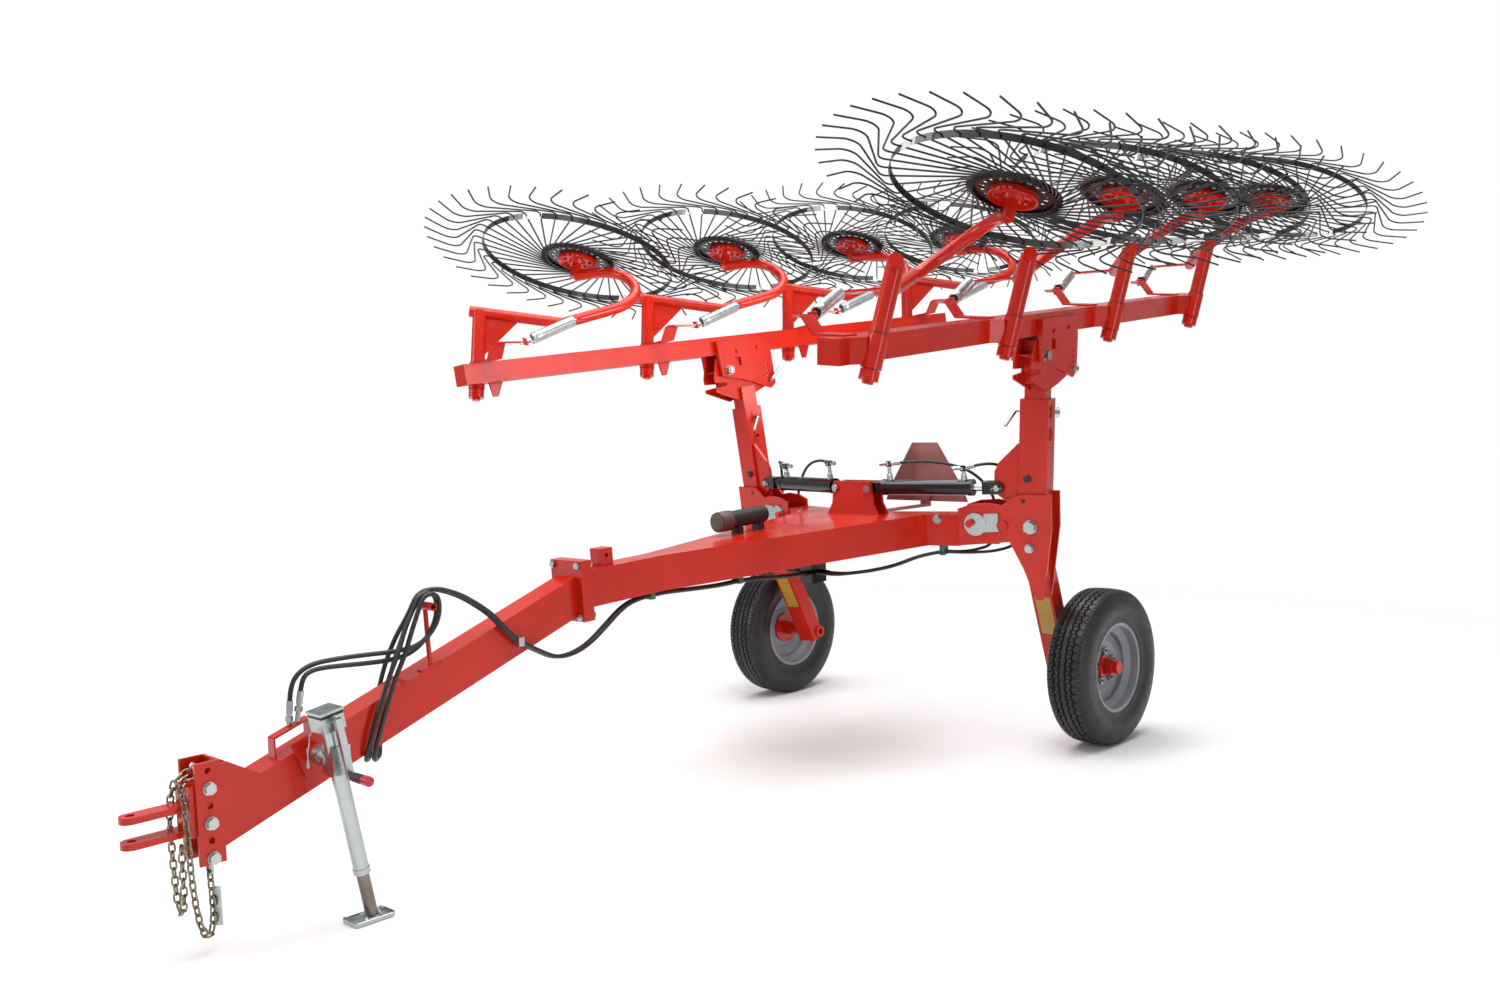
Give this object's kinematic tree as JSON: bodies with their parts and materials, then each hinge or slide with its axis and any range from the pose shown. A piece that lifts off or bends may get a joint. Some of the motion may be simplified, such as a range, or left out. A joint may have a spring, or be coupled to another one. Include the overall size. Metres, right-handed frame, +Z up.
{
  "type": "wheel rake",
  "caption": "Folding V hay rake on a two-wheeled cart, wings raised flat for the road, on a side-wind jack with a clevis drawbar hitch.",
  "frame": {"origin": "middle of the folded machine's bounding box, on the floor", "axes": "+X the machine's left, -Y forward towards the hitch, +Z up"},
  "size_m": [3.9376, 6.3387, 2.7846],
  "materials": {
    "red_paint": "gloss",
    "black_paint": "satin",
    "silver_paint": "satin",
    "zinc": "bright zinc plate",
    "hydraulic_black": "gloss",
    "tyre": "matte",
    "hose_rubber": "satin",
    "green_plastic": "moulded",
    "black_plastic": "moulded"
  },
  "bodies": {
    "frame": {"main_frame": "red_paint", "drawbar": "red_paint", "hitch_clevis": "red_paint", "hitch_bolts": "zinc", "cart_leg_left": "red_paint", "cart_leg_right": "red_paint", "document_canister": "black_plastic", "sign_plate": "red_paint", "transport_latches": "zinc", "pivot_pins": "zinc", "hose_brackets": "red_paint", "hose_fittings": "zinc", "pressure_hose": "hose_rubber", "return_hose": "hose_rubber", "frame_hoses": "hose_rubber", "hose_valve": "hydraulic_black", "hose_clips": "green_plastic", "hose_clamp": "zinc", "safety_chains": "zinc"},
    "jack": {"jack_body": "zinc", "jack_crank": "zinc"},
    "jack_foot": {"jack_leg": "zinc"},
    "wheel_left": {"tyre_left": "tyre", "wheel_rim_left": "silver_paint", "wheel_hub_left": "red_paint"},
    "wing_left": {"post_sleeve_left": "red_paint", "post_inner_left": "red_paint", "rake_beam_left": "red_paint", "crank_arms_left": "red_paint", "float_springs_left": "zinc", "post_pins_left": "zinc"},
    "cylinder_left": {"cylinder_barrel_left": "hydraulic_black", "cylinder_hoses_left": "hose_rubber"},
    "rod_left": {"cylinder_rod_left": "hydraulic_black"},
    "rake_left_1": {"rake_wheel_1_left": "black_paint"},
    "rake_left_2": {"rake_wheel_2_left": "black_paint"},
    "rake_left_3": {"rake_wheel_3_left": "black_paint"},
    "rake_left_4": {"rake_wheel_4_left": "black_paint"},
    "wheel_right": {"tyre_right": "tyre", "wheel_rim_right": "silver_paint", "wheel_hub_right": "red_paint"},
    "wing_right": {"post_sleeve_right": "red_paint", "post_inner_right": "red_paint", "rake_beam_right": "red_paint", "crank_arms_right": "red_paint", "float_springs_right": "zinc", "post_pins_right": "zinc"},
    "cylinder_right": {"cylinder_barrel_right": "hydraulic_black", "cylinder_hoses_right": "hose_rubber"},
    "rod_right": {"cylinder_rod_right": "hydraulic_black"},
    "rake_right_1": {"rake_wheel_1_right": "black_paint"},
    "rake_right_2": {"rake_wheel_2_right": "black_paint"},
    "rake_right_3": {"rake_wheel_3_right": "black_paint"},
    "rake_right_4": {"rake_wheel_4_right": "black_paint"}
  },
  "joints": [
    {"name": "jack_swing", "type": "hinge", "parent": "frame", "child": "jack", "pos_m": [0.15, -2.589, 0.53], "axis": [1, 0, 0], "range_deg": [0, 90]},
    {"name": "jack_lift", "type": "slide", "parent": "jack", "child": "jack_foot", "axis": [0, -0.1744, 0.9847], "range_m": [-0.22, 0.12]},
    {"name": "wheel_left_spin", "type": "hinge", "parent": "frame", "child": "wheel_left", "pos_m": [0.952, 0.707, 0.344], "axis": [1, 0, 0], "continuous": true},
    {"name": "fold_left", "type": "hinge", "parent": "frame", "child": "wing_left", "pos_m": [0.82, 0.353, 0.989], "axis": [-0.2241, 0.9707, 0.0872], "range_deg": [0, 80]},
    {"name": "cylinder_left_swing", "type": "hinge", "parent": "frame", "child": "cylinder_left", "pos_m": [0.083, 0.202, 1.157], "axis": [-0.2241, 0.9707, 0.0872], "range_deg": [-0.3449, 0]},
    {"name": "cylinder_left_extend", "type": "slide", "parent": "cylinder_left", "child": "rod_left", "axis": [0.9744, 0.225, 0], "range_m": [0, 0.28282]},
    {"name": "rake_wheel_1_left_spin", "type": "hinge", "parent": "wing_left", "child": "rake_left_1", "pos_m": [1.236, -0.372, 2.283], "axis": [0.079, 0.3472, 0.9345], "continuous": true},
    {"name": "rake_wheel_2_left_spin", "type": "hinge", "parent": "wing_left", "child": "rake_left_2", "pos_m": [1.153, 0.579, 2.362], "axis": [0.079, 0.3472, 0.9345], "continuous": true},
    {"name": "rake_wheel_3_left_spin", "type": "hinge", "parent": "wing_left", "child": "rake_left_3", "pos_m": [1.07, 1.53, 2.441], "axis": [0.079, 0.3472, 0.9345], "continuous": true},
    {"name": "rake_wheel_4_left_spin", "type": "hinge", "parent": "wing_left", "child": "rake_left_4", "pos_m": [0.987, 2.481, 2.52], "axis": [0.079, 0.3472, 0.9345], "continuous": true},
    {"name": "wheel_right_spin", "type": "hinge", "parent": "frame", "child": "wheel_right", "pos_m": [-0.952, 0.707, 0.344], "axis": [1, 0, 0], "continuous": true},
    {"name": "fold_right", "type": "hinge", "parent": "frame", "child": "wing_right", "pos_m": [-0.82, 0.353, 0.989], "axis": [-0.2241, -0.9707, -0.0872], "range_deg": [0, 80]},
    {"name": "cylinder_right_swing", "type": "hinge", "parent": "frame", "child": "cylinder_right", "pos_m": [-0.083, 0.202, 1.157], "axis": [-0.2241, -0.9707, -0.0872], "range_deg": [-0.3449, 0]},
    {"name": "cylinder_right_extend", "type": "slide", "parent": "cylinder_right", "child": "rod_right", "axis": [-0.9744, 0.225, 0], "range_m": [0, 0.28282]},
    {"name": "rake_wheel_1_right_spin", "type": "hinge", "parent": "wing_right", "child": "rake_right_1", "pos_m": [-1.236, -0.372, 2.283], "axis": [0.079, -0.3472, -0.9345], "continuous": true},
    {"name": "rake_wheel_2_right_spin", "type": "hinge", "parent": "wing_right", "child": "rake_right_2", "pos_m": [-1.153, 0.579, 2.362], "axis": [0.079, -0.3472, -0.9345], "continuous": true},
    {"name": "rake_wheel_3_right_spin", "type": "hinge", "parent": "wing_right", "child": "rake_right_3", "pos_m": [-1.07, 1.53, 2.441], "axis": [0.079, -0.3472, -0.9345], "continuous": true},
    {"name": "rake_wheel_4_right_spin", "type": "hinge", "parent": "wing_right", "child": "rake_right_4", "pos_m": [-0.987, 2.481, 2.52], "axis": [0.079, -0.3472, -0.9345], "continuous": true}
  ],
  "couplings": [
    {"joint": "cylinder_left_swing", "follows": "fold_left", "ratio": -0.0042868},
    {"joint": "cylinder_left_extend", "follows": "fold_left", "m_per_rad": 0.20241},
    {"joint": "cylinder_right_swing", "follows": "fold_right", "ratio": -0.0042868},
    {"joint": "cylinder_right_extend", "follows": "fold_right", "m_per_rad": 0.20241}
  ]
}
